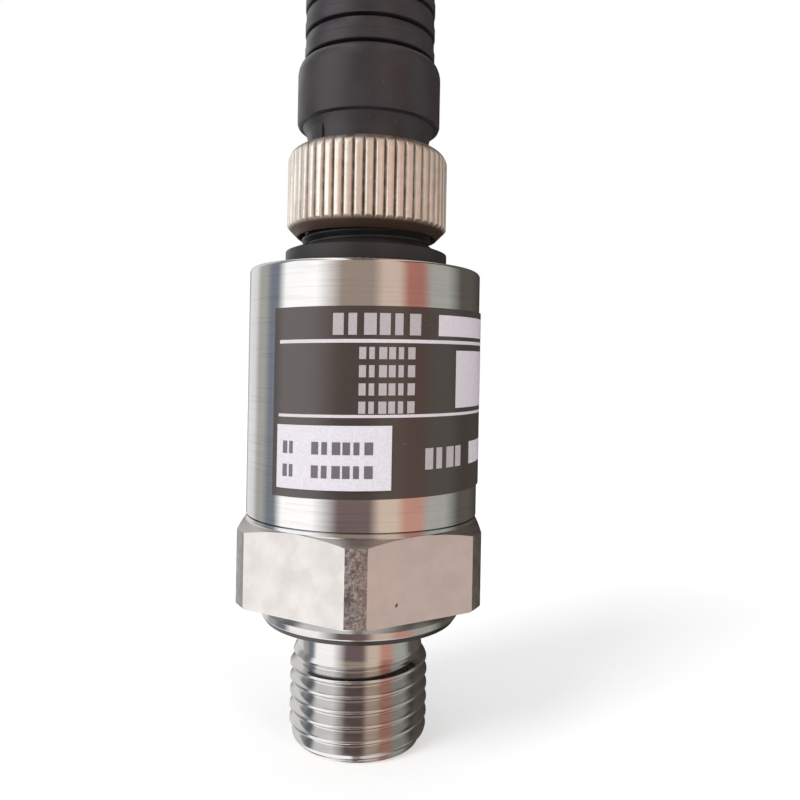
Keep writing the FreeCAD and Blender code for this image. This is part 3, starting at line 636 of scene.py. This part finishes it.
def film(name, colour, fleck, roughness, coat):
    """Printed or plain film: even colour with dust, fine grain and a clear face."""
    material, shader, place = new_finish(name)
    grain = place.noise(5200.0, 2.0, 0.6)
    ripple = place.noise(260.0, 2.0, 0.5)
    dust = place.noise(3600.0, 1.0, 0.4).step(0.79, 0.82)
    shade = grain.step(0.3, 0.7).blend(colour, [c * 1.12 for c in colour[:3]] + [1])
    height = ripple * 0.8 + grain * 0.06
    feed(material.node_tree, shader, {
        "Base Color": dust.blend(shade, fleck),
        "Roughness": grain.step(0.2, 0.8, roughness - 0.04, roughness + 0.05),
        "Coat Weight": coat,
        "Coat Roughness": 0.16,
        "Normal": height.bump(0.35, 0.03),
    })
    return material


label = bent_patch("nameplate", FILM_INSIDE, FILM_OUTSIDE, -41, 300, FILM_FOOT, FILM_TOP, 150)
label.data.materials.append(film("charcoal_film", tone(64, 54, 50), tone(120, 112, 108), 0.32, 0.7))
smooth(label, 30)
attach(label, "transmitter")
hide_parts("nameplate_label")

white_ink = film("white_ink", tone(226, 216, 222), tone(200, 190, 196), 0.4, 0.2)
grey_ink = film("pale_letters", tone(190, 180, 182), tone(170, 160, 160), 0.4, 0.2)
# Two rules and three fields: start and wrap in degrees, foot and top over the film's lower edge.
FIELDS = (
    (-37.5, 292, 12.95, 13.25), (-37.5, 292, 6.75, 7.0),
    (37, 46, 13.6, 15.4), (48.5, 44, 7.4, 12.4), (61, 30, 2.3, 4.3),
)
BAR_SHARES = (0.7, 0.55, 0.8)


def row_of_bars(start, end, foot, height, count):
    """Bars of three lengths in turn, evenly pitched from a start angle to an end angle."""
    pitch = (end - start) / count
    return [(start + pitch * bar, pitch * BAR_SHARES[bar % 3], foot, foot + height)
            for bar in range(count)]


fields = [(start, wrap, FILM_FOOT + foot, FILM_FOOT + top) for start, wrap, foot, top in FIELDS]
rows = row_of_bars(-11, 29, FILM_FOOT + 13.6, 1.8, 6) + row_of_bars(31, 55, FILM_FOOT + 2.3, 1.8, 4)
for line in range(4):
    rows += row_of_bars(0.5, 26, FILM_FOOT + 7.1 + 1.5 * line, 1.0, 6)
printed("nameplate_fields", fields, FILM_OUTSIDE, white_ink)
printed("nameplate_rows", rows, FILM_OUTSIDE, grey_ink)

# --- wiring sticker -------------------------------------------------------------------------------
# A small white paper sticker over the lower left of the nameplate, which tells the two wires apart.
# Its two rows are plain dark bars.
PAPER_INSIDE = FILM_OUTSIDE + 0.03
PAPER_OUTSIDE = PAPER_INSIDE + 0.1
PAPER_FOOT, PAPER_TOP = foot_and_top("wiring_sticker")
paper = film("white_paper", tone(232, 226, 234), tone(214, 206, 214), 0.5, 0.1)
sticker = bent_patch("wiring_sticker_paper", PAPER_INSIDE, PAPER_OUTSIDE, -37.5, 52.5, PAPER_FOOT,
                     PAPER_TOP, 26)
sticker.data.materials.append(paper)
smooth(sticker, 30)
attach(sticker, "transmitter")
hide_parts("wiring_sticker")
ink = film("grey_ink", tone(112, 106, 112), tone(90, 86, 90), 0.45, 0.1)
bars = []
for foot in (PAPER_FOOT + 1.0, PAPER_FOOT + 2.95):
    bars += row_of_bars(-34, -27, foot, 1.05, 2) + row_of_bars(-19.5, 8, foot, 1.05, 6)
printed("sticker_rows", bars, PAPER_OUTSIDE, ink)

# --- plug -----------------------------------------------------------------------------------------
# Black glass-filled nylon plug with an M12 thread, moulded in one with its collar and cone, and
# pulled down on the can by a nut inside it.
PLUG_CREST = 6.25
PLUG_DEPTH = 0.5
PLUG_PITCH = 1.0
COLLAR = 7.75
SHANK = 5.5
SHROUD = 4.3
# A flat face is closed at the axis through two small rings; the inner one is all but a point.
CENTRE_RING = 0.6
POLE = 0.0001
PLUG_FOOT, PLUG_TOP = foot_and_top("plug_base")
CONE_TOP = PLUG_TOP - 6.07
SHROUD_FLOOR = PLUG_TOP - 6.0
PLUG_SHAPE = (
    (0.0, 0.0), (0.08, 0.04), (0.15, 0.22), (0.38, 0.9), (0.44, 1.0), (0.56, 1.0), (0.62, 0.9),
    (0.85, 0.22), (0.92, 0.04),
)


def plug_blank(level):
    """Radius of the moulding under the thread, with the chamfer at its upper end."""
    return min(PLUG_CREST, PLUG_CREST - 0.4 + max(PLUG_TOP - level, 0.0))


plug = cut_thread("plug_moulding", PLUG_SHAPE, PLUG_CREST, PLUG_DEPTH, PLUG_PITCH, CONE_TOP + 0.12,
                  PLUG_TOP, plug_blank)
pick_open_rim(plug, PLUG_TOP)
carry_rim(plug, [
    (SHROUD + 0.15, PLUG_TOP), (SHROUD, PLUG_TOP - 0.15), (SHROUD, SHROUD_FLOOR),
    (CENTRE_RING, SHROUD_FLOOR), (POLE, SHROUD_FLOOR),
])
pick_open_rim(plug, CONE_TOP + 0.12)
carry_rim(plug, [
    (PLUG_CREST + 0.05, CONE_TOP), (COLLAR - 0.2, CONE_TOP - 0.47), (COLLAR - 0.03, CONE_TOP - 0.55),
    (COLLAR, CONE_TOP - 0.65), (COLLAR, CAN_TOP + 0.15), (COLLAR - 0.07, CAN_TOP), (SHANK, CAN_TOP),
    (SHANK, PLUG_FOOT), (CENTRE_RING, PLUG_FOOT), (POLE, PLUG_FOOT),
])
close_shell()


def black_moulding(name, colour, fleck, roughness, fleck_share):
    """Moulded black plastic: cloudy sheen, fine grain, dust and lint caught on it."""
    material, shader, place = new_finish(name)
    cloud = place.noise(220.0, 3.0, 0.6)
    grain = place.noise(4500.0, 3.0, 0.6)
    dust = place.noise(2400.0, 2.0, 0.5).step(fleck_share, fleck_share + 0.05)
    shade = cloud.step(0.3, 0.7).blend(colour, [c * 1.35 for c in colour[:3]] + [1])
    height = grain * 0.3 + cloud * 0.8
    feed(material.node_tree, shader, {
        "Base Color": dust.blend(shade, fleck),
        "Roughness": cloud.step(0.3, 0.7, roughness - 0.06, roughness + 0.08),
        "Normal": height.bump(0.5, 0.02),
    })
    return material


plug.data.materials.append(black_moulding("plug_nylon", tone(40, 37, 38), tone(96, 92, 92), 0.42, 0.76))
smooth(plug, 30)
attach(plug, "transmitter")
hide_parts("plug_base")

# --- coupling nut ---------------------------------------------------------------------------------
# Nickel-plated brass nut turned from straight-knurled bar: fifty ridges with flattened tops that
# run out in a rounded shoulder above and in a chamfer below. It turns on the connector's neck.
KNURLS = 50
KNURL_CUT = (0.3, 0.22, 0.05, 0.01, 0.0, 0.0, 0.0, 0.01, 0.05, 0.22)
KNURL_BAR = 7.65
KNURL_BAR_FOOT = 46.5
KNURL_BAR_LENGTH = 11
NUT = 7.66
NUT_BORE = 6.33
LIP_BORE = 5.93
SHOULDER = 1.3
NUT_FOOT, NUT_TOP = foot_and_top("coupling_nut")
BOOT_FOOT, BOOT_TOP = foot_and_top("strain_relief_boot")
bpy.ops.object.select_all(action="DESELECT")
bpy.ops.mesh.primitive_circle_add(vertices=len(KNURL_CUT) * KNURLS, radius=KNURL_BAR * MM,
                                  fill_type="NGON", location=(0, 0, KNURL_BAR_FOOT * MM))
knurl = bpy.context.object
knurl.name = "knurled_bar"
bpy.ops.object.transform_apply(location=True)
for index, vertex in enumerate(knurl.data.vertices):
    inward = 1 - KNURL_CUT[index % len(KNURL_CUT)] / KNURL_BAR
    vertex.co.x *= inward
    vertex.co.y *= inward
bpy.ops.object.mode_set(mode="EDIT")
bpy.ops.mesh.select_all(action="SELECT")
bpy.ops.mesh.extrude_region_move(TRANSFORM_OT_translate={"value": (0, 0, KNURL_BAR_LENGTH * MM)})
bpy.ops.mesh.select_all(action="SELECT")
bpy.ops.mesh.normals_make_consistent(inside=False)
bpy.ops.object.mode_set(mode="OBJECT")
shoulder = []
for angle in range(0, 85, 12):
    rise = math.sin(math.radians(angle))
    reach = math.cos(math.radians(angle))
    shoulder.append((NUT - SHOULDER * (1 - reach), NUT_TOP - SHOULDER * (1 - rise)))
nut = turn_on_lathe("coupling_nut_brass", [
    (NUT_BORE, NUT_FOOT + 0.15), (NUT_BORE + 0.15, NUT_FOOT), (NUT - 0.96, NUT_FOOT),
    (NUT, NUT_FOOT + 0.96), *shoulder, (LIP_BORE + 0.12, NUT_TOP), (LIP_BORE, NUT_TOP - 0.12),
    (LIP_BORE, BOOT_FOOT), (NUT_BORE, BOOT_FOOT),
], steps=200)
keep_inside(nut, knurl)


def nickel_plate(name):
    """Nickel over brass: warm and nicked on the ridges, with brown painted shade in the grooves and on the
    lower chamfer.
    """
    material, shader, place = new_finish(name)
    x, y, z = place.split()
    reach = (x * x + y * y).math("SQRT")
    groove = reach.step(7.36 * MM, 7.6 * MM, 1.0, 0.0)
    wear = place.noise(900.0, 4.0, 0.7)
    nick = place.noise(3600.0, 3.0, 0.6)
    streak = place.stretched(1.0, 0.12).noise(4200.0, 3.0, 0.6)
    plate = wear.step(0.35, 0.7).blend((0.98, 0.92, 0.84, 1), (0.92, 0.82, 0.70, 1))
    # Painted shade: the lower chamfer is darkened as if it lay in its own shadow.
    under = z.step((NUT_FOOT + 0.57) * MM, (NUT_FOOT + 1.07) * MM, 1.0, 0.0)
    # Painted shade: patchy dark brown in the knurl's grooves, and on the lower chamfer.
    painted_shade = (groove * wear.step(0.2, 0.7, 0.55, 0.95)).math("MAXIMUM", under)
    height = nick * 0.6 + streak * 0.5
    feed(material.node_tree, shader, {
        "Base Color": painted_shade.blend(plate, (0.15, 0.10, 0.075, 1)),
        "Metallic": 0.85,
        "Roughness": nick.step(0.3, 0.7, 0.34, 0.46) + groove * 0.12,
        "Normal": height.bump(0.8, 0.016),
    })
    return material


nut.data.materials.append(nickel_plate("nickel_plate"))
smooth(nut, 40)
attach(nut, "nut")
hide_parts("coupling_nut")

# --- boot -----------------------------------------------------------------------------------------
# Black soft plastic moulded over the connector's tail and the cable's end: a neck under the nut's
# lip, a thumb grip, and seven rings. The cable's hole is open at the top.
RINGS = 7
RING_PITCH = 2.35
RINGS_FOOT = BOOT_TOP - RINGS * RING_PITCH
GRIP_FOOT = BOOT_FOOT + 3.48
NECK = 5.85
GRIP = 6.85
RING = 6.25
GROOVE = 5.5
CABLE_HOLE = 2.6
INSERT_HOLE = 4.23
CONTACT_TOP = foot_and_top("socket_contacts")[1]
boot_outline = [
    (INSERT_HOLE, BOOT_FOOT), (NECK, BOOT_FOOT), (NECK, GRIP_FOOT - 1.25), (NECK + 0.05, GRIP_FOOT - 0.85),
    (NECK + 0.23, GRIP_FOOT - 0.4), (NECK + 0.5, GRIP_FOOT), (GRIP - 0.35, GRIP_FOOT + 0.02),
    (GRIP - 0.09, GRIP_FOOT + 0.15), (GRIP, GRIP_FOOT + 0.4), (GRIP, RINGS_FOOT - 1.3),
    (GRIP - 0.01, RINGS_FOOT - 1.05), (GRIP - 0.08, RINGS_FOOT - 0.7), (GRIP - 0.22, RINGS_FOOT - 0.35),
    (GRIP - 0.4, RINGS_FOOT - 0.12), (RING, RINGS_FOOT),
]
for ring in range(RINGS):
    foot = RINGS_FOOT + RING_PITCH * ring
    boot_outline += [
        (GROOVE, foot), (GROOVE, foot + 0.36), (RING - 0.08, foot + 0.38), (RING, foot + 0.46),
        (RING, foot + 1.34), (RING - 0.05, foot + 1.4), (RING - 0.08, foot + 1.42),
        (RING - 0.08, foot + 2.27), (RING - 0.13, foot + RING_PITCH),
    ]
boot_outline += [
    (CABLE_HOLE + 0.15, BOOT_TOP), (CABLE_HOLE, BOOT_TOP - 0.15), (CABLE_HOLE, CONTACT_TOP + 1.5),
    (INSERT_HOLE, CONTACT_TOP),
]
boot = turn_on_lathe("boot_moulding", boot_outline, steps=128)
boot_plastic = black_moulding("boot_plastic", tone(48, 44, 47), tone(112, 106, 106), 0.36, 0.72)
boot.data.materials.append(boot_plastic)
smooth(boot, 35)
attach(boot, "cable_connector")
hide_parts("strain_relief_boot")

# The line-up mark, a flat raised on the neck beside the front.
mark = bent_patch("boot_mark", NECK - 0.25, NECK + 0.17, -58, 16, NUT_TOP + 0.1, GRIP_FOOT + 0.17, 8,
                  climb=0.0)
mark.data.materials.append(boot_plastic)
smooth(mark, 30)
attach(mark, "cable_connector")

# --- inside ---------------------------------------------------------------------------------------
# What the can and the plug hide: seals, the ceramic cell under its screwed ring, the board with
# its parts and leads, and the gold-plated contacts.


def plain_part(name, colour, darker, roughness, metallic=0.0, grain=2500.0, depth=0.01):
    """A small part's finish: its colour varied by a fine grain that also roughens it."""
    material, shader, place = new_finish(name)
    fine = place.noise(grain, 3.0, 0.6)
    broad = place.noise(grain * 0.12, 2.0, 0.5)
    feed(material.node_tree, shader, {
        "Base Color": (fine * 0.5 + broad * 0.5).step(0.3, 0.7).blend(colour, darker),
        "Metallic": metallic,
        "Roughness": fine.step(0.3, 0.7, roughness - 0.06, roughness + 0.08),
        "Normal": fine.bump(0.6, depth),
    })
    return material


# Each finish: its name, its colour, its darker grain, its roughness, its metal and its nodes.
INSIDE = (
    ("seal_rubber", tone(38, 36, 36), tone(24, 23, 23), 0.6, 0.0,
     ("process_seal_ring", "cell_o_ring", "plug_seal_ring", "face_seal")),
    ("alumina", tone(236, 232, 224), tone(218, 212, 202), 0.45, 0.0, ("pressure_sensor_cell",)),
    ("clamp_steel", tone(196, 196, 198), tone(168, 168, 170), 0.3, 1.0,
     ("sensor_clamp_ring", "plug_lock_nut")),
    ("tinned_wire", tone(206, 208, 212), tone(170, 172, 178), 0.3, 1.0, ("cell_leads",)),
    ("holder_plastic", tone(46, 46, 50), tone(34, 34, 38), 0.5, 0.0, ("board_holder",)),
    ("board_laminate", tone(28, 92, 58), tone(22, 74, 48), 0.35, 0.0, ("circuit_board",)),
    ("chip_case", tone(34, 34, 36), tone(24, 24, 26), 0.55, 0.0, ("signal_chip", "output_transistor")),
    ("capacitor_ceramic", tone(178, 142, 102), tone(150, 116, 80), 0.4, 0.0, ("board_capacitors",)),
    ("red_wire", tone(178, 30, 28), tone(150, 22, 22), 0.4, 0.0, ("supply_wire",)),
    ("black_wire", tone(30, 30, 32), tone(20, 20, 22), 0.4, 0.0, ("output_wire",)),
    ("gold_contact", tone(236, 190, 104), tone(214, 162, 78), 0.22, 1.0,
     ("contact_pins", "socket_contacts")),
    ("insert_moulding", tone(42, 40, 42), tone(30, 28, 30), 0.45, 0.0, ("connector_insert",)),
)
for name, colour, darker, roughness, metallic, nodes in INSIDE:
    finish = plain_part(name, colour, darker, roughness, metallic)
    for node in nodes:
        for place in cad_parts[node].material_slots:
            place.material = finish
